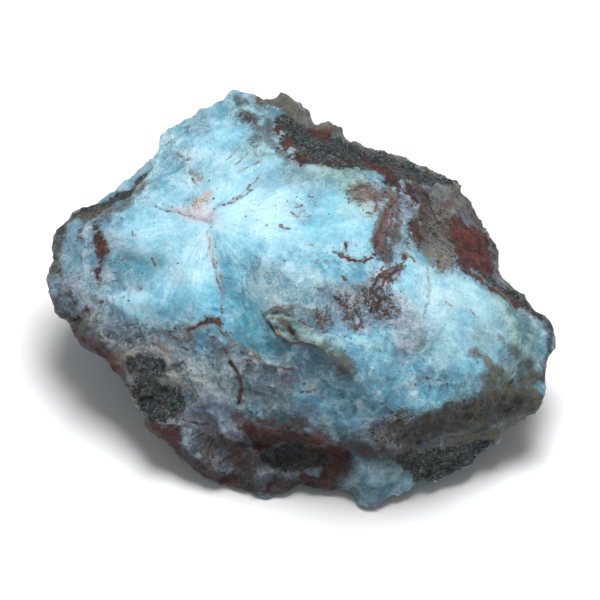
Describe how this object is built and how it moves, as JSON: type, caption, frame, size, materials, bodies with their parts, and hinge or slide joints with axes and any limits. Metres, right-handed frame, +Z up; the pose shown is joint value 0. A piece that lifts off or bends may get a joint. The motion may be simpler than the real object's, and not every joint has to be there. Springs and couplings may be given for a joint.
{
  "type": "raw larimar",
  "caption": "Rough lump of larimar: white and blue pectolite fans round a star, with dark basalt and rust-brown iron oxide, lying on a flat fracture face.",
  "frame": {"origin": "in the plane of the flat face the stone lies on, near the middle of that face", "axes": "+Z up from the resting face; +X to the right along the stone's longest extent, as the picture shows it; -Y towards the viewer, the side that the blue show face leans towards"},
  "size_m": [0.0918, 0.0676, 0.0422],
  "materials": {
    "larimar": "rough broken stone, waxy on the blue faces and dull on the dark matrix"
  },
  "bodies": {
    "root": {"stone": "larimar"}
  },
  "joints": []
}
